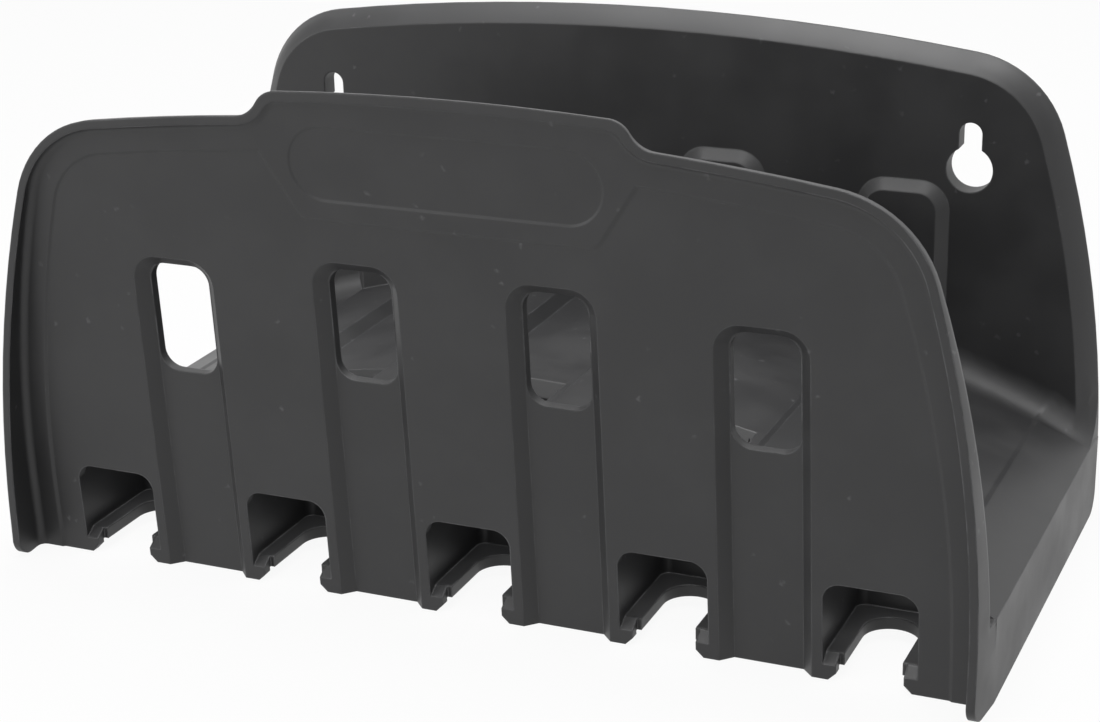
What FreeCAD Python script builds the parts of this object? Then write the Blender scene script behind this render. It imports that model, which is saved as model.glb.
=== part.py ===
import FreeCAD, Part
import math
import os

# Wall bracket for a coiled hose, moulded in one piece. Sizes in mm.
# X runs along the wall, Y runs back to the wall, Z is up.
# The work frame has its zero at the foot of the front panel. The finished body
# is moved at the end so that zero lies on the wall, midway between the keyholes.

V = FreeCAD.Vector

# Overall sizes
pitch = 52.0                # spacing of the tool slots
slot_count = 5
half_length = 133.2         # half of the body's length
wall_plane = 122.0          # foot of the front panel to the wall
wall = 2.6                  # moulded sheet thickness

# Outline shared by the front panel and the back plate
side_r = 317.0              # radius of the bowed ends
side_z = 14.0               # height where the ends are upright
arch_r = 705.0              # radius of the bowed top edges
corner_r = 29.0

# Front panel
lean = 3.54                 # degrees that the panel leans away from the wall
front_crown = 131.8
tab_rise = 6.2              # middle of the top edge stands higher
tab_half = 42.4
tab_r = 7.0
rim_reach = 11.6            # rim's front edge ahead of the panel's foot
rim_set = 0.95              # degrees that the rim's front edge leans back
rim_thick = 2.1
rim_draft = 5.5             # degrees of taper on the rim
rim_outer_r = 4.6           # the sheet turns into the rim with these roundings
rim_inner_r = 2.2
lip_round = 5.6             # rounding at the lower ends of the rim

# Raised border and name plate, left bare
border = 10.0
border_rise = 0.45
border_slope = 0.7          # width of the small step at the border's edge
plate_half = 39.0
plate_foot = 103.8
plate_top_half = 49.5
plate_r = 4.0
badge_half = 41.0
badge_mid = 118.5
badge_r = 9.5
badge_sink = 0.3
badge_slope = 0.5

# Corrugation: one groove section used on the panel, the floor and the back
groove_half = 11.7
groove_floor_half = 8.8
groove_depth = 3.0
groove_r = 7.0
groove_top_front = 93.3
groove_top_back = 94.4
outer_drop = 4.0            # the two outer grooves end this much lower

# Windows in the grooves of the front panel
window_ledge = 0.25
window_height = 29.9
window_below_top = 2.6      # top of a window below the top of its groove
window_r = 5.0

# Back plate
back_set = 6.0              # plate's front face ahead of the wall
back_crown = 132.8
edge_inset = 4.9            # width of the rolled edge
edge_bulge = 0.6            # the rolled edge stands out from a straight slope
rear_inset = 4.5            # rim left around the hollow rear
rear_foot = 7.0
foot_round = 6.0            # rounding along the lower rear edge

# Keyholes
key_half_spacing = 95.9
key_z = 95.5
key_r = 6.3
key_slot_half = 3.1
key_rise = 9.8
key_pad = 2.8               # material around a keyhole's rear pad

# Hose floor
floor_r = 305.0
floor_crown = 52.3
cove_r = 8.0                # hollow rounding between floor and back plate
end_band = 15.0             # raised band along each end of the floor
end_rise = 0.6
end_slope = 1.2             # width of the soft step at the band's edge

# Tool slots: notch in the panel, shaft behind it, shelf with a U slot
notch_half = 11.6
notch_top = 26.1
notch_r = 4.5
shelf_top = 6.2
shelf_thick = 3.2
slot_half = 7.1
slot_centre = 18.4
shaft_foot_back = 30.0      # shaft's rear wall at the shelf
shaft_top_back = 33.0       # shaft's rear wall at the floor's crown
shaft_mouth = 3.4           # slope at the shaft's upper rear edge
shaft_r = 2.5
shaft_wall = 2.2
shaft_clear = 0.3           # panel kept this much thicker in the shafts
gap_half = 8.25             # gap between the lips in front of the slot
gap_chamfer = 2.0
lip_top = 4.2               # front edge of the ramp down from the shelf
ramp_run = 3.0

over = 1.0                  # cutting tools run this far past a face
bite = 0.3                  # small overlap of neighbouring cuts
below = 15.0                # leaning pieces start this far under the foot
ahead = 30.0                # floor pieces start this far ahead of the panel
far = 300.0                 # larger than the body
round_steps = 3             # flats in the roundings of the rim
edge_steps = 2              # flats across the rolled edge

# Derived values
half_steps = (slot_count - 1) / 2.0
slot_xs = [(i - half_steps) * pitch for i in range(slot_count)]
groove_xs = [(i - half_steps + 0.5) * pitch for i in range(slot_count - 1)]
back_face = wall_plane - back_set
back_rear = back_face + wall
groove_slope = (groove_half - groove_floor_half) / groove_depth
skin_shift = wall * math.tan(math.atan(1.0 / groove_slope) / 2.0)
floor_axis_z = floor_crown - floor_r
rim_taper = math.tan(math.radians(rim_draft))


def toward(centre, target, distance):
    step = target.sub(centre)
    return centre.add(step.multiply(distance / step.Length))


def meet(c1, r1, c2, r2):
    # Upper right crossing of two circles in the XZ plane
    step = c2.sub(c1)
    span = step.Length
    along = (r1 ** 2 - r2 ** 2 + span ** 2) / (2.0 * span)
    across = math.sqrt(r1 ** 2 - along ** 2)
    base = toward(c1, c2, along)
    side = V(step.z / span, 0, -step.x / span).multiply(across)
    return max(base.add(side), base.sub(side), key=lambda p: p.x + p.z)


def line(a, b):
    return Part.makeLine(a, b)


def arc(a, centre, b):
    # Shorter arc about the centre
    mid = toward(centre, a.add(b).multiply(0.5), a.sub(centre).Length)
    return Part.Arc(a, mid, b).toShape()


def mirrored(p):
    return V(-p.x, p.y, p.z)


def closed(edges):
    return Part.Wire(Part.__sortEdges__(edges))


def both_sides(right_edges, extra):
    left = [e.mirror(V(0, 0, 0), V(1, 0, 0)) for e in right_edges]
    return closed(right_edges + left + extra)


def prism(wire, y_from, y_to):
    face = Part.Face(wire)
    face.translate(V(0, y_from, 0))
    return face.extrude(V(0, y_to - y_from, 0))


def loft(sections):
    # Straight slopes through wires, each given with its Y
    wires = []
    for wire, y in sections:
        moved = wire.copy()
        moved.translate(V(0, y, 0))
        wires.append(moved)
    return Part.makeLoft(wires, True, True)


def quarter(r):
    # Inset and depth of the points of a quarter round, from its face to its side
    turns = [math.pi / 2.0 * i / round_steps for i in range(round_steps + 1)]
    return [(r * (1.0 - math.sin(t)), r * (1.0 - math.cos(t))) for t in turns]


def rolled_edge():
    # Inset and depth of the points across the back plate's rolled edge
    slant = math.hypot(edge_inset, back_set)
    points = []
    for i in range(edge_steps + 1):
        t = i / edge_steps
        out = 4.0 * edge_bulge * t * (1.0 - t) / slant
        points.append((edge_inset * (1.0 - t) - out * back_set, back_set * t - out * edge_inset))
    return points


def leaned(shape):
    return shape.copy().rotate(V(0, 0, 0), V(1, 0, 0), lean)


def behind(y_at_foot, angle):
    # Everything behind a plane that leans forward by an angle
    box = Part.makeBox(2 * far, far, 2 * far, V(-far, y_at_foot, -far))
    return box.rotate(V(0, y_at_foot, 0), V(1, 0, 0), angle)


def plate_centres(crown):
    side_c = V(half_length - side_r, 0, side_z)
    arch_c = V(0, 0, crown - arch_r)
    corner_c = meet(side_c, side_r - corner_r, arch_c, arch_r - corner_r)
    return side_c, arch_c, corner_c


def side_edges(crown, inset, foot):
    # Right end and upper right corner of a plate, with the last point
    side_c, arch_c, corner_c = plate_centres(crown)
    a = V(half_length - inset, 0, foot)
    b = V(half_length - inset, 0, side_z)
    c = toward(side_c, corner_c, side_r - inset)
    d = toward(arch_c, corner_c, arch_r - inset)
    edges = [line(a, b), arc(b, side_c, c), arc(c, corner_c, d)]
    return edges, a, d


def outline(crown, inset, foot, tab):
    edges, start, end = side_edges(crown, inset, foot)
    top_c = V(0, 0, crown - arch_r)
    if tab:
        arch_c = top_c
        top_c = arch_c.add(V(0, 0, tab_rise))
        rise = math.sqrt((arch_r - tab_r) ** 2 - tab_half ** 2)
        convex_c = V(tab_half, 0, top_c.z + rise)
        concave_c = meet(arch_c, arch_r + tab_r, convex_c, 2 * tab_r)
        e = toward(arch_c, concave_c, arch_r - inset)
        f = toward(convex_c, concave_c, tab_r - inset)
        g = toward(top_c, convex_c, arch_r - inset)
        edges += [arc(end, arch_c, e), arc(e, concave_c, f), arc(f, convex_c, g)]
        end = g
    top = arc(end, top_c, mirrored(end))
    return both_sides(edges, [top, line(mirrored(start), start)])


def field(grow):
    # Lower field of the panel, bounded by the border and the name plate
    inset = border - grow
    edges, start, end = side_edges(front_crown, inset, -below)
    arch_c = V(0, 0, front_crown - arch_r)
    top_x = plate_top_half - grow
    top_z = arch_c.z + math.sqrt((arch_r - inset) ** 2 - top_x ** 2)
    top = V(top_x, 0, top_z)
    knee = V(plate_half - grow, 0, plate_foot + grow)
    slant = top.sub(knee)
    turn = math.atan2(slant.z, slant.x)
    reach = plate_r * math.tan(turn / 2.0)
    on_slant = toward(knee, top, reach)
    on_foot = V(knee.x - reach, 0, knee.z)
    round_c = V(on_foot.x, 0, knee.z + plate_r)
    edges += [arc(end, arch_c, top), line(top, on_slant), arc(on_slant, round_c, on_foot)]
    return both_sides(edges, [line(on_foot, mirrored(on_foot)), line(mirrored(start), start)])


def hoop(x, half, top, r, foot):
    # Upright strip with two rounded upper corners
    a = V(x + half, 0, foot)
    b = V(x + half, 0, top - r)
    c = V(x + half - r, 0, top)
    d = V(x - half + r, 0, top)
    e = V(x - half, 0, top - r)
    f = V(x - half, 0, foot)
    right_c = V(x + half - r, 0, top - r)
    left_c = V(x - half + r, 0, top - r)
    return closed([line(a, b), arc(b, right_c, c), line(c, d), arc(d, left_c, e),
                   line(e, f), line(f, a)])


def stadium(half, mid_z, r):
    a = V(half - r, 0, mid_z + r)
    b = V(half - r, 0, mid_z - r)
    tip = V(half, 0, mid_z)
    return both_sides([Part.Arc(a, tip, b).toShape()],
                      [line(a, mirrored(a)), line(b, mirrored(b))])


def rounded_window(x, half, foot, top, r):
    box = Part.makeBox(2 * half, wall + groove_depth + 2 * over, top - foot,
                       V(x - half, -over, foot))
    upright = [e for e in box.Edges if abs(e.tangentAt(e.FirstParameter).y) > 0.9]
    return box.makeFillet(r, upright)


def groove(x, top, shift, y_mouth, y_floor):
    # Grooves have no shift, the ribs behind them are wider by the skin's shift
    way = 1.0 if y_floor > y_mouth else -1.0
    lead = over * groove_slope
    mouth = hoop(x, groove_half + shift + lead, top + shift + lead,
                 groove_r + shift + lead, -below)
    floor = hoop(x, groove_floor_half + shift, top + shift - groove_half + groove_floor_half,
                 groove_r + shift - groove_half + groove_floor_half, -below)
    return loft([(mouth, y_mouth - way * over), (floor, y_floor)])


def groove_drop(x):
    return outer_drop if abs(x) > pitch else 0.0


def saddle(drop, inset, foot):
    # Section under the arched hose floor
    half = half_length - inset
    axis = V(0, 0, floor_axis_z)
    top_z = floor_axis_z + math.sqrt((floor_r - drop) ** 2 - half ** 2)
    a = V(half, 0, foot)
    b = V(half, 0, top_z)
    return closed([line(mirrored(a), a), line(a, b), arc(b, axis, mirrored(b)),
                   line(mirrored(b), mirrored(a))])


def floor_strip(x, shift, r_base, y_from, y_to):
    # Groove section laid along the arched floor
    axis = V(0, 0, floor_axis_z)
    middle = math.asin(x / floor_r)
    lead = over * groove_slope

    def at(r, half):
        angle = middle + half / floor_r
        return V(r * math.sin(angle), 0, floor_axis_z + r * math.cos(angle))

    low = r_base - over
    high = r_base + groove_depth
    a = at(low, groove_half + shift + lead)
    b = at(high, groove_floor_half + shift)
    c = at(high, -groove_floor_half - shift)
    d = at(low, -groove_half - shift - lead)
    return prism(closed([line(a, b), arc(b, axis, c), line(c, d), arc(d, axis, a)]),
                 y_from, y_to)


def end_bands():
    # Raised band along each end of the floor, with a soft sloped step
    axis = V(0, 0, floor_axis_z)
    middle = half_length - end_band
    slope = end_slope / end_rise

    def at(rise, x):
        turn = math.asin(x / floor_r)
        r = floor_r + rise
        return V(r * math.sin(turn), 0, floor_axis_z + r * math.cos(turn))

    a = at(-over, middle - end_slope / 2.0 - over * slope)
    b = at(end_rise, middle + end_slope / 2.0)
    c = at(end_rise, half_length + over)
    d = at(-over, half_length + over)
    band = prism(closed([line(a, b), arc(b, axis, c), line(c, d), arc(d, axis, a)]),
                 -ahead, back_rear)
    return [band, band.mirror(V(0, 0, 0), V(1, 0, 0))]


def front_panel():
    foot = -below
    deep = rim_reach + wall

    def rim_section(inset, y, drop):
        # Outline at a depth, drawn in by the rim's draft
        return outline(front_crown, inset + rim_taper * (wall - y), foot - drop, True), y

    sharp = loft([rim_section(0.0, wall, 0.0), rim_section(0.0, -deep, 0.0)])
    rounded = loft([rim_section(inset, wall - depth, 0.0) for inset, depth in quarter(rim_outer_r)]
                   + [rim_section(0.0, -deep, 0.0)])
    end_top = floor_height(half_length) + end_rise
    block = rounded.fuse(sharp.common(Part.makeBox(2 * far, 2 * far, end_top + far,
                                                   V(-far, -far, -far))))
    cavity = loft([rim_section(rim_thick + inset, -border_rise - depth, over)
                   for inset, depth in quarter(rim_inner_r)]
                  + [rim_section(rim_thick, -deep, over)])
    lower = loft([(field(0.0), 0.0), (field(border_slope), -border_rise)])
    badge_floor = -border_rise + badge_sink
    lead = over * badge_slope / badge_sink
    badge = loft([(stadium(badge_half + lead, badge_mid, badge_r + lead), -border_rise - over),
                  (stadium(badge_half - badge_slope, badge_mid, badge_r - badge_slope), badge_floor)])
    panel = block.cut([cavity, lower, badge])
    ribs = []
    for x in groove_xs:
        top = groove_top_front - groove_drop(x)
        ribs.append(groove(x, top, skin_shift, wall, wall + groove_depth))
    panel = leaned(panel.fuse(ribs)).common(behind(-rim_reach, -rim_set))
    corner = Part.makeBox(2 * far, lip_round + over, lip_round + over,
                          V(-far, -rim_reach - over, -over))
    bead = Part.makeCylinder(lip_round, 2 * far, V(-far, lip_round - rim_reach, lip_round),
                             V(1, 0, 0))
    return panel.cut(corner.cut(bead))


def panel_cuts():
    # Grooves and windows of the front panel
    cuts = []
    for x in groove_xs:
        top = groove_top_front - groove_drop(x)
        window_top = top - window_below_top
        cuts.append(leaned(groove(x, top, 0.0, 0.0, groove_depth)))
        cuts.append(leaned(rounded_window(x, groove_floor_half - window_ledge,
                                          window_top - window_height, window_top, window_r)))
    return cuts


def back_plate():
    return loft([(outline(back_crown, inset, -over, False), back_face + depth)
                 for inset, depth in rolled_edge()])


def hose_floor():
    outer = prism(saddle(0.0, 0.0, -over), -ahead, wall_plane)
    strips = [floor_strip(x, skin_shift, floor_r, -ahead, back_face + over)
              for x in groove_xs]
    behind_panel = leaned(Part.makeBox(2 * far, far, 2 * far, V(-far, wall, -far)))
    outer = outer.fuse(strips + end_bands()).common(behind_panel)
    outer = outer.common(Part.makeBox(2 * half_length, far, far, V(-half_length, -far / 2, -over)))
    hollow = prism(saddle(wall, wall, -2 * over), -ahead, back_face)
    grooves = [floor_strip(x, 0.0, floor_r - wall, -ahead, back_face) for x in groove_xs]
    hollow = hollow.fuse(grooves).common(behind(wall, lean))
    return outer.cut(hollow)


def floor_height(x):
    return floor_axis_z + math.sqrt(floor_r ** 2 - x ** 2)


def cove_section(x, reach, rise, wall_y, floor_z, draw_in):
    # Hollow quarter round with a root inside the floor and plate, its top drawn in
    root = wall / 2.0
    mid = 1.0 - math.sqrt(0.5)

    def at(y, up):
        return V(x - draw_in * up / rise, y, floor_z + up)

    a = at(wall_y - reach, 0.0)
    b = at(wall_y, rise)
    c = at(wall_y + root, rise)
    d = at(wall_y + root, -root)
    e = at(wall_y - reach, -root)
    hollow = Part.Arc(a, at(wall_y - mid * reach, mid * rise), b).toShape()
    return closed([hollow, line(b, c), line(c, d), line(d, e), line(e, a)])


def bow(z):
    return side_r - math.sqrt(side_r ** 2 - (z - side_z) ** 2)


def coves():
    # Hollow rounding where the hose floor meets the back plate. It climbs the step of
    # each end band and then follows the rolled edge back to the wall.
    def square_to_floor(x, lift):
        turn = math.asin(x / floor_r)
        return cove_section(x, cove_r, cove_r * math.cos(turn), back_face,
                            floor_height(x) + lift, -cove_r * math.sin(turn))

    low_x = half_length - end_band - end_slope / 2.0
    swing = math.degrees(math.asin(low_x / floor_r))
    face = Part.Face(square_to_floor(0.0, 0.0))
    face.rotate(V(0, 0, floor_axis_z), V(0, 1, 0), -swing)
    ring = face.revolve(V(0, 0, floor_axis_z), V(0, 1, 0), 2 * swing)
    sections = [square_to_floor(low_x, 0.0), square_to_floor(low_x + end_slope, end_rise)]
    for inset, depth in rolled_edge():
        x = half_length - inset
        foot = floor_height(x) + end_rise
        r = cove_r + depth
        sections.append(cove_section(x - bow(foot), r, r, back_face + depth, foot,
                                     bow(foot + r) - bow(foot)))
    room = prism(outline(back_crown, 0.0, -over, False), 0.0, wall_plane)
    ends = [Part.makeLoft([a, b], True, True).common(room)
            for a, b in zip(sections, sections[1:])]
    return [ring] + ends + [end.mirror(V(0, 0, 0), V(1, 0, 0)) for end in ends]


def shaft(grow, foot):
    # Upright well with a tapered rear wall, wider by the shaft's wall for its outside
    rate = (shaft_top_back - shaft_foot_back) / (floor_crown - shelf_top)
    top = floor_crown + 4 * over
    half = notch_half + grow
    rear = [V(-half, shaft_foot_back + grow + rate * (z - shelf_top), z) for z in (foot, top)]
    front = [V(-half, -ahead, z) for z in (top, foot)]
    side = Part.Face(Part.makePolygon(rear + front + rear[:1]))
    return side.extrude(V(2 * half, 0, 0))


def rounded_shaft():
    well = shaft(0.0, shelf_top)
    corners = [e for e in well.Edges
               if e.BoundBox.ZLength > floor_crown / 2 and e.BoundBox.YMin > 0]
    return well.makeFillet(shaft_r, corners)


def shaft_mouth_cut(x):
    # Slope at the upper rear edge of a shaft, square to the arched floor
    low = V(-notch_half, shaft_top_back - over, floor_crown - shaft_mouth - over)
    back = V(-notch_half, shaft_top_back + shaft_mouth + over, floor_crown + over)
    front = V(-notch_half, shaft_top_back - over, floor_crown + over)
    mouth = Part.Face(Part.makePolygon([low, back, front, low])).extrude(V(2 * notch_half, 0, 0))
    turn = math.degrees(math.asin(x / floor_r))
    return mouth.rotate(V(0, 0, floor_axis_z), V(0, 1, 0), turn)


def tool_slot_cut(x):
    # Shaft, notch, ramp, gap and U slot of one tool hanger
    well = rounded_shaft().common(behind(wall + shaft_clear, lean))
    notch = leaned(prism(hoop(0.0, notch_half, notch_top, notch_r, shelf_top - bite),
                         -wall, wall + shaft_clear + over))
    rate = (shelf_top - lip_top) / ramp_run
    ramp_pts = [V(-notch_half, ramp_run + bite, shelf_top + bite * rate),
                V(-notch_half, -wall, lip_top - wall * rate),
                V(-notch_half, -wall, shelf_top + wall),
                V(-notch_half, ramp_run + bite, shelf_top + wall)]
    ramp = Part.Face(Part.makePolygon(ramp_pts + ramp_pts[:1])).extrude(V(2 * notch_half, 0, 0))
    gap_right = [V(gap_half + gap_chamfer + over, 0, -over), V(gap_half, 0, gap_chamfer),
                 V(gap_half, 0, shelf_top + over)]
    gap_pts = gap_right + [mirrored(p) for p in reversed(gap_right)]
    gap = prism(Part.makePolygon(gap_pts + gap_pts[:1]), -wall, ramp_run)
    run = Part.makeBox(2 * slot_half, slot_centre + wall, shelf_top + 2 * over,
                       V(-slot_half, -wall, -over))
    end = Part.makeCylinder(slot_half, shelf_top + 2 * over, V(0, slot_centre, -over))
    tools = [well, notch, ramp, gap, run, end]
    for tool in tools:
        tool.translate(V(x, 0, 0))
    return tools + [shaft_mouth_cut(x)]


def keyhole(x, grow, y_from, y_to):
    # Entry circle with a slot above it, wider by some material for its rear pad
    depth = y_to - y_from
    round_part = Part.makeCylinder(key_r + grow, depth, V(x, y_from, key_z), V(0, 1, 0))
    end = Part.makeCylinder(key_slot_half + grow, depth, V(x, y_from, key_z + key_rise),
                            V(0, 1, 0))
    neck = Part.makeBox(2 * (key_slot_half + grow), depth, key_rise,
                        V(x - key_slot_half - grow, y_from, key_z))
    return round_part.fuse([end, neck])


def bracket():
    floor_shell = hose_floor()
    floor_block = prism(saddle(0.0, 0.0, 0.0), -ahead, back_face)
    floor_block = floor_block.common(behind(wall / 2.0, lean))
    tubes = []
    for x in slot_xs:
        tube = shaft(shaft_wall, shelf_top - shelf_thick)
        tube.translate(V(x, 0, 0))
        tubes.append(tube.common(floor_block))
    back_ribs = [groove(x, groove_top_back - groove_drop(x), skin_shift, back_face,
                        back_face - groove_depth) for x in groove_xs]
    body = floor_shell.fuse([front_panel(), back_plate()] + coves() + back_ribs + tubes)

    # Hollow rear of the back plate, with the corrugation carried through
    rear = prism(outline(back_crown, rear_inset, rear_foot, False), back_rear, wall_plane + over)
    rear_grooves = []
    upper = Part.makeBox(2 * far, far, far, V(-far, 0, rear_foot))
    for x in groove_xs:
        cut = groove(x, groove_top_back - groove_drop(x), 0.0, back_rear, back_rear - groove_depth)
        rear_grooves.append(cut.common(upper))
    body = body.cut([rear] + rear_grooves)
    key_xs = [-key_half_spacing, key_half_spacing]
    body = body.fuse([keyhole(x, key_pad, back_face + over, wall_plane) for x in key_xs])

    cuts = panel_cuts()
    cuts += [keyhole(x, 0.0, back_face - over, wall_plane + over) for x in key_xs]
    for x in slot_xs:
        cuts += tool_slot_cut(x)
    body = body.cut(cuts)

    # Flat underside and the rounded lower rear edge
    ground = Part.makeBox(2 * far, 2 * far, far, V(-far, -far, -far))
    edge = Part.makeBox(2 * far, foot_round + over, foot_round + over,
                        V(-far, wall_plane - foot_round, -over))
    bead = Part.makeCylinder(foot_round, 2 * far, V(-far, wall_plane - foot_round, foot_round),
                             V(1, 0, 0))
    body = body.cut([ground, edge.cut(bead)]).removeSplitter()
    body.translate(V(0, -wall_plane, -key_z))
    return body


os.makedirs("parts", exist_ok=True)
shape = bracket()
if len(shape.Solids) != 1 or not shape.isValid():
    raise ValueError("the bracket is not one sound solid")
shape = shape.Solids[0]
shape.exportStep("parts/bracket_body.step")
box = shape.BoundBox
print("size", round(box.XLength, 2), round(box.YLength, 2), round(box.ZLength, 2))
print("volume cm3", round(shape.Volume / 1000.0, 2), "faces", len(shape.Faces))
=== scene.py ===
import math

import bpy
from mathutils import Matrix, Vector


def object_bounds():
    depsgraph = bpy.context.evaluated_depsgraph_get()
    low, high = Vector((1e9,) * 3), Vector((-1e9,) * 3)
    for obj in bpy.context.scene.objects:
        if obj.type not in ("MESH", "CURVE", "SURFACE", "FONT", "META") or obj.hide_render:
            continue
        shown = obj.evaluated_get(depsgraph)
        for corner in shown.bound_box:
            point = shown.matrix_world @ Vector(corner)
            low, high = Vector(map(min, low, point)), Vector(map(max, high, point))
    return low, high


# Wall bracket for a coiled hose: charcoal moulded plastic on a white studio floor.
# Lengths in metres. Zero lies on the wall plane, midway between the keyholes.

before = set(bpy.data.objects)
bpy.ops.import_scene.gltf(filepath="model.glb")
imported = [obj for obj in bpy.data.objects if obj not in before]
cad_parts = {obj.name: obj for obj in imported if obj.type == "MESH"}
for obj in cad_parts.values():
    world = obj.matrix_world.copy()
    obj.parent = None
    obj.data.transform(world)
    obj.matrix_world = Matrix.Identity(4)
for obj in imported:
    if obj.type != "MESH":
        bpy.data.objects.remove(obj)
cad_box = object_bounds()
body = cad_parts["bracket_body"]

MM = 0.001

# Camera
CAMERA_PLACE = Vector((0.2343, -0.5998, 0.1698))
CAMERA_AZIMUTH = math.radians(23.83)
CAMERA_ELEVATION = math.radians(20.27)
CAMERA_ROLL = math.radians(-1.43)
FOCAL_LENGTH = 76.04
SENSOR_WIDTH = 36.0

# Front panel: its lean, its face along its own depth, and where its shallow steps lie
PANEL_LEAN = math.radians(3.54)
PANEL_FOOT = Vector((0.0, -0.122, -0.0955))
PANEL_DEPTH = PANEL_FOOT.y * math.cos(PANEL_LEAN) + PANEL_FOOT.z * math.sin(PANEL_LEAN)
STEP_MIDDLE = PANEL_DEPTH - 0.215 * MM
STEP_REACH = 0.265 * MM
BEHIND_PANEL = PANEL_DEPTH + 3.0 * MM

# Studio
FLOOR_SIZE = 6.0
FLOOR_COLOUR = (0.80, 0.80, 0.80, 1.0)
FLOOR_ROUGHNESS = 0.9
# The rest of the floor's tone is its own, so a faint shadow stays
FLOOR_GLOW = 0.93
WORLD_LIGHT = 0.04
WHITE = (1.0, 1.0, 1.0, 1.0)
LAMPS_AIM = (0.0, -0.06, 0.0)

# Charcoal plastic
CHARCOAL = (0.022, 0.022, 0.023, 1.0)
CHARCOAL_PALE = (0.030, 0.030, 0.031, 1.0)
# Edge colour: partly rubbed wear, partly a painted highlight along the edges
EDGE_WEAR_AND_HIGHLIGHT = (0.30, 0.30, 0.31, 1.0)
SPECK = (0.16, 0.16, 0.165, 1.0)
EDGE_RADIUS = 0.7 * MM
EDGE_SHARE = 0.45
EDGE_PATCH_SCALE = 140.0
GRAIN_SCALE = 2600.0
GRAIN_STRENGTH = 0.18
GRAIN_DEPTH = 0.06 * MM
MOTTLE_SCALE = 38.0
ROUGHNESS_SHINY = 0.42
ROUGHNESS_DULL = 0.54
SPECK_SCALE = 140.0
SPECK_SHARE = 0.4
SPECK_PATCH_SCALE = 30.0
SPECK_RAG_SCALE = 450.0
SPECK_RAG = 3.0 * MM

# Smooth shading: edges that turn more than these angles stay crisp
CRISP_ANGLE = math.radians(34.0)
SHALLOW_ANGLE = math.radians(21.0)
WELD_DISTANCE = 0.001 * MM


def make_group(name, inputs, outputs):
    group = bpy.data.node_groups.new(name, "ShaderNodeTree")
    for label, kind, value in inputs:
        socket = group.interface.new_socket(label, in_out="INPUT", socket_type=kind)
        socket.default_value = value
    for label, kind in outputs:
        group.interface.new_socket(label, in_out="OUTPUT", socket_type=kind)
    return group, group.nodes.new("NodeGroupInput"), group.nodes.new("NodeGroupOutput")


def add_node(tree, kind, **settings):
    node = tree.nodes.new(kind)
    for key, value in settings.items():
        setattr(node, key, value)
    return node


def noise(tree, vector, scale, detail, roughness=0.5):
    node = add_node(tree, "ShaderNodeTexNoise")
    node.inputs["Detail"].default_value = detail
    node.inputs["Roughness"].default_value = roughness
    tree.links.new(vector, node.inputs["Vector"])
    if isinstance(scale, float):
        node.inputs["Scale"].default_value = scale
    else:
        tree.links.new(scale, node.inputs["Scale"])
    return node.outputs["Fac"]


def remap(tree, value, low, high, to_low, to_high):
    node = add_node(tree, "ShaderNodeMapRange", interpolation_type="SMOOTHSTEP")
    for label, number in (("From Min", low), ("From Max", high),
                          ("To Min", to_low), ("To Max", to_high)):
        node.inputs[label].default_value = number
    tree.links.new(value, node.inputs["Value"])
    return node.outputs["Result"]


def math_node(tree, operation, a, b):
    node = add_node(tree, "ShaderNodeMath", operation=operation)
    for socket, value in zip(node.inputs, (a, b)):
        if isinstance(value, (int, float)):
            socket.default_value = value
        else:
            tree.links.new(value, socket)
    return node.outputs["Value"]


def moulded_grain_group():
    # Fine spark-eroded grain with slow cloudy change over the surface
    group, given, out = make_group(
        "moulded_grain",
        [("Grain Scale", "NodeSocketFloat", GRAIN_SCALE),
         ("Mottle Scale", "NodeSocketFloat", MOTTLE_SCALE)],
        [("Grain", "NodeSocketFloat"), ("Mottle", "NodeSocketFloat")])
    place = add_node(group, "ShaderNodeTexCoord").outputs["Object"]
    grain = noise(group, place, given.outputs["Grain Scale"], 2.0, 0.6)
    mottle = noise(group, place, given.outputs["Mottle Scale"], 4.0, 0.55)
    group.links.new(grain, out.inputs["Grain"])
    group.links.new(mottle, out.inputs["Mottle"])
    return group


def worn_and_highlit_edge_group():
    # Mask of the outer edges, lighter as rubbed wear and as a painted highlight, broken up
    # where handling has rubbed them
    group, given, out = make_group(
        "worn_and_highlit_edge",
        [("Radius", "NodeSocketFloat", EDGE_RADIUS)],
        [("Mask", "NodeSocketFloat"), ("Normal", "NodeSocketVector")])
    place = add_node(group, "ShaderNodeTexCoord").outputs["Object"]
    rounded = add_node(group, "ShaderNodeBevel", samples=6)
    group.links.new(given.outputs["Radius"], rounded.inputs["Radius"])
    flat = add_node(group, "ShaderNodeNewGeometry").outputs["Normal"]
    turn = add_node(group, "ShaderNodeVectorMath", operation="DOT_PRODUCT")
    group.links.new(rounded.outputs["Normal"], turn.inputs[0])
    group.links.new(flat, turn.inputs[1])
    edge = remap(group, turn.outputs["Value"], 0.80, 0.97, 1.0, 0.0)
    patches = remap(group, noise(group, place, EDGE_PATCH_SCALE, 3.0), 0.40, 0.62, 0.25, 1.0)
    group.links.new(math_node(group, "MULTIPLY", edge, patches), out.inputs["Mask"])
    group.links.new(rounded.outputs["Normal"], out.inputs["Normal"])
    return group


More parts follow.
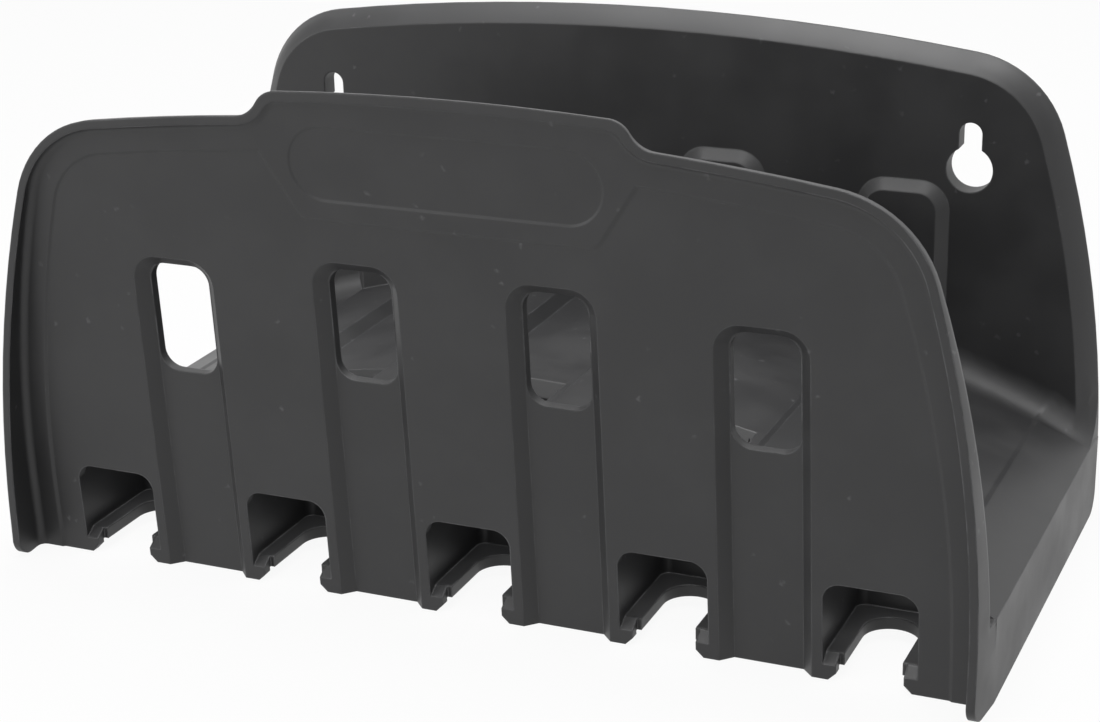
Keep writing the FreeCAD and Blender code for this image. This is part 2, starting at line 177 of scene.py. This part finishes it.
def specks_group():
    # Small pale nicks and dust of ragged outline, gathered in patches
    group, given, out = make_group(
        "specks",
        [("Scale", "NodeSocketFloat", SPECK_SCALE)],
        [("Mask", "NodeSocketFloat")])
    place = add_node(group, "ShaderNodeTexCoord").outputs["Object"]
    ragged = add_node(group, "ShaderNodeVectorMath", operation="MULTIPLY_ADD")
    ragged.inputs[1].default_value = (SPECK_RAG, SPECK_RAG, SPECK_RAG)
    shift = noise(group, place, SPECK_RAG_SCALE, 2.0).node.outputs["Color"]
    group.links.new(shift, ragged.inputs[0])
    group.links.new(place, ragged.inputs[2])
    cells = add_node(group, "ShaderNodeTexVoronoi", feature="F1", distance="EUCLIDEAN")
    group.links.new(ragged.outputs["Vector"], cells.inputs["Vector"])
    group.links.new(given.outputs["Scale"], cells.inputs["Scale"])
    spot = remap(group, cells.outputs["Distance"], 0.02, 0.13, 1.0, 0.0)
    patches = remap(group, noise(group, place, SPECK_PATCH_SCALE, 2.0), 0.44, 0.60, 0.0, 1.0)
    group.links.new(math_node(group, "MULTIPLY", spot, patches), out.inputs["Mask"])
    return group


def charcoal_plastic():
    material = bpy.data.materials.new("charcoal_plastic")
    material.use_nodes = True
    tree = material.node_tree
    shader = tree.nodes["Principled BSDF"]
    grain = add_node(tree, "ShaderNodeGroup", node_tree=moulded_grain_group())
    edge = add_node(tree, "ShaderNodeGroup", node_tree=worn_and_highlit_edge_group())
    specks = add_node(tree, "ShaderNodeGroup", node_tree=specks_group())

    cloud = add_node(tree, "ShaderNodeMix", data_type="RGBA")
    cloud.inputs["A"].default_value = CHARCOAL
    cloud.inputs["B"].default_value = CHARCOAL_PALE
    tree.links.new(remap(tree, grain.outputs["Mottle"], 0.35, 0.70, 0.0, 1.0),
                   cloud.inputs["Factor"])
    # Edges lightened: partly rubbed wear, partly a painted highlight
    worn_and_highlit = add_node(tree, "ShaderNodeMix", data_type="RGBA")
    worn_and_highlit.inputs["B"].default_value = EDGE_WEAR_AND_HIGHLIGHT
    tree.links.new(math_node(tree, "MULTIPLY", edge.outputs["Mask"], EDGE_SHARE),
                   worn_and_highlit.inputs["Factor"])
    tree.links.new(cloud.outputs["Result"], worn_and_highlit.inputs["A"])
    dusty = add_node(tree, "ShaderNodeMix", data_type="RGBA")
    dusty.inputs["B"].default_value = SPECK
    tree.links.new(math_node(tree, "MULTIPLY", specks.outputs["Mask"], SPECK_SHARE),
                   dusty.inputs["Factor"])
    tree.links.new(worn_and_highlit.outputs["Result"], dusty.inputs["A"])
    tree.links.new(dusty.outputs["Result"], shader.inputs["Base Color"])

    gloss = remap(tree, grain.outputs["Mottle"], 0.30, 0.75, ROUGHNESS_SHINY, ROUGHNESS_DULL)
    tree.links.new(gloss, shader.inputs["Roughness"])
    shader.inputs["Specular IOR Level"].default_value = 0.5

    bump = add_node(tree, "ShaderNodeBump")
    bump.inputs["Strength"].default_value = GRAIN_STRENGTH
    bump.inputs["Distance"].default_value = GRAIN_DEPTH
    tree.links.new(grain.outputs["Grain"], bump.inputs["Height"])
    tree.links.new(edge.outputs["Normal"], bump.inputs["Normal"])
    tree.links.new(bump.outputs["Normal"], shader.inputs["Normal"])
    return material


def seen_rays(tree):
    # One for camera, mirror and glass rays, so that only those see plain white
    path = add_node(tree, "ShaderNodeLightPath")
    direct = math_node(tree, "MAXIMUM", path.outputs["Is Camera Ray"],
                       path.outputs["Is Transmission Ray"])
    return math_node(tree, "MAXIMUM", direct, path.outputs["Is Glossy Ray"])


def studio_floor():
    lowest = cad_box[0].z
    mesh = bpy.data.meshes.new("studio_floor")
    h = FLOOR_SIZE / 2
    corners = [(-h, -h, lowest), (h, -h, lowest), (h, h, lowest), (-h, h, lowest)]
    mesh.from_pydata(corners, [], [(0, 1, 2, 3)])
    floor = bpy.data.objects.new("studio_floor", mesh)
    bpy.context.collection.objects.link(floor)
    material = bpy.data.materials.new("white_floor")
    material.use_nodes = True
    tree = material.node_tree
    shader = tree.nodes["Principled BSDF"]
    shader.inputs["Base Color"].default_value = FLOOR_COLOUR
    shader.inputs["Roughness"].default_value = FLOOR_ROUGHNESS
    glow = add_node(tree, "ShaderNodeEmission")
    glow.inputs["Color"].default_value = WHITE
    mix = add_node(tree, "ShaderNodeMixShader")
    share = math_node(tree, "MULTIPLY", seen_rays(tree), FLOOR_GLOW)
    tree.links.new(share, mix.inputs["Fac"])
    tree.links.new(shader.outputs["BSDF"], mix.inputs[1])
    tree.links.new(glow.outputs["Emission"], mix.inputs[2])
    tree.links.new(mix.outputs["Shader"], tree.nodes["Material Output"].inputs["Surface"])
    mesh.materials.append(material)


def studio_world():
    world = bpy.data.worlds.new("studio")
    bpy.context.scene.world = world
    world.use_nodes = True
    tree = world.node_tree
    soft = tree.nodes["Background"]
    soft.inputs["Color"].default_value = WHITE
    soft.inputs["Strength"].default_value = WORLD_LIGHT
    white = add_node(tree, "ShaderNodeBackground")
    white.inputs["Color"].default_value = WHITE
    white.inputs["Strength"].default_value = 1.0
    mix = add_node(tree, "ShaderNodeMixShader")
    tree.links.new(seen_rays(tree), mix.inputs["Fac"])
    tree.links.new(soft.outputs["Background"], mix.inputs[1])
    tree.links.new(white.outputs["Background"], mix.inputs[2])
    tree.links.new(mix.outputs["Shader"], tree.nodes["World Output"].inputs["Surface"])


def softbox(name, place, target, width, height, power):
    lamp = bpy.data.lights.new(name, "AREA")
    lamp.shape = "RECTANGLE"
    lamp.size = width
    lamp.size_y = height
    lamp.energy = power
    box = bpy.data.objects.new(name, lamp)
    bpy.context.collection.objects.link(box)
    box.location = place
    box.rotation_euler = (Vector(target) - Vector(place)).to_track_quat("-Z", "Y").to_euler()


def studio_camera():
    a, e, roll = CAMERA_AZIMUTH, CAMERA_ELEVATION, CAMERA_ROLL
    right = Vector((math.cos(a), math.sin(a), 0.0))
    back = Vector((math.sin(a) * math.cos(e), -math.cos(a) * math.cos(e), math.sin(e)))
    up = back.cross(right)
    rolled_right = right * math.cos(roll) + up * math.sin(roll)
    rolled_up = up * math.cos(roll) - right * math.sin(roll)
    turn = Matrix((rolled_right, rolled_up, back)).transposed()
    data = bpy.data.cameras.new("studio_camera")
    data.sensor_fit = "HORIZONTAL"
    data.sensor_width = SENSOR_WIDTH
    data.lens = FOCAL_LENGTH
    data.clip_start = 0.01
    camera = bpy.data.objects.new("studio_camera", data)
    bpy.context.collection.objects.link(camera)
    camera.matrix_world = Matrix.Translation(CAMERA_PLACE) @ turn.to_4x4()
    bpy.context.scene.camera = camera


def smooth_shading():
    # Closed mesh whose soft turns shade smoothly and whose corners stay crisp
    group = bpy.data.node_groups.new("smooth_shading", "GeometryNodeTree")
    group.interface.new_socket("Geometry", in_out="INPUT", socket_type="NodeSocketGeometry")
    group.interface.new_socket("Geometry", in_out="OUTPUT", socket_type="NodeSocketGeometry")
    given = add_node(group, "NodeGroupInput")
    out = add_node(group, "NodeGroupOutput")
    weld = add_node(group, "GeometryNodeMergeByDistance")
    weld.inputs["Distance"].default_value = WELD_DISTANCE
    # Shallow steps on the panel's face and the floor keep their edges, roundings don't
    place = add_node(group, "GeometryNodeInputPosition")
    depth = add_node(group, "ShaderNodeVectorMath", operation="DOT_PRODUCT")
    depth.inputs[1].default_value = (0.0, math.cos(PANEL_LEAN), math.sin(PANEL_LEAN))
    group.links.new(place.outputs["Position"], depth.inputs[0])
    on_face = math_node(group, "COMPARE", depth.outputs["Value"], STEP_MIDDLE)
    on_face.node.inputs[2].default_value = STEP_REACH
    inside = math_node(group, "GREATER_THAN", depth.outputs["Value"], BEHIND_PANEL)
    shallow = math_node(group, "MAXIMUM", on_face, inside)
    limit = math_node(group, "SUBTRACT", CRISP_ANGLE,
                      math_node(group, "MULTIPLY", shallow, CRISP_ANGLE - SHALLOW_ANGLE))
    turn = add_node(group, "GeometryNodeInputMeshEdgeAngle")
    corner = add_node(group, "FunctionNodeCompare", data_type="FLOAT", operation="GREATER_THAN")
    group.links.new(limit, corner.inputs["B"])
    shade = add_node(group, "GeometryNodeSetMeshNormal", mode="SHARPNESS")
    shade.inputs["Remove Custom"].default_value = True
    shade.inputs["Face Sharpness"].default_value = False
    group.links.new(given.outputs["Geometry"], weld.inputs["Geometry"])
    group.links.new(weld.outputs["Geometry"], shade.inputs["Mesh"])
    group.links.new(turn.outputs["Unsigned Angle"], corner.inputs["A"])
    group.links.new(corner.outputs["Result"], shade.inputs["Edge Sharpness"])
    group.links.new(shade.outputs["Mesh"], out.inputs["Geometry"])
    return group


def dress_body():
    body.data.materials.clear()
    body.data.materials.append(charcoal_plastic())
    smooth = body.modifiers.new("smooth_shading", "NODES")
    smooth.node_group = smooth_shading()
    level = body.modifiers.new("flat_faces_stay_flat", "WEIGHTED_NORMAL")
    level.mode = "FACE_AREA"
    level.weight = 100
    level.keep_sharp = True


dress_body()
studio_floor()
studio_world()
softbox("overhead", (0.05, 0.10, 1.00), LAMPS_AIM, 1.0, 0.9, 12.0)
softbox("overhead_front", (0.00, -0.45, 1.00), LAMPS_AIM, 1.0, 0.7, 4.0)
softbox("front_left_key", (-1.30, -1.40, 0.50), LAMPS_AIM, 1.0, 0.8, 10.0)
studio_camera()
bpy.context.scene.view_settings.view_transform = "Standard"
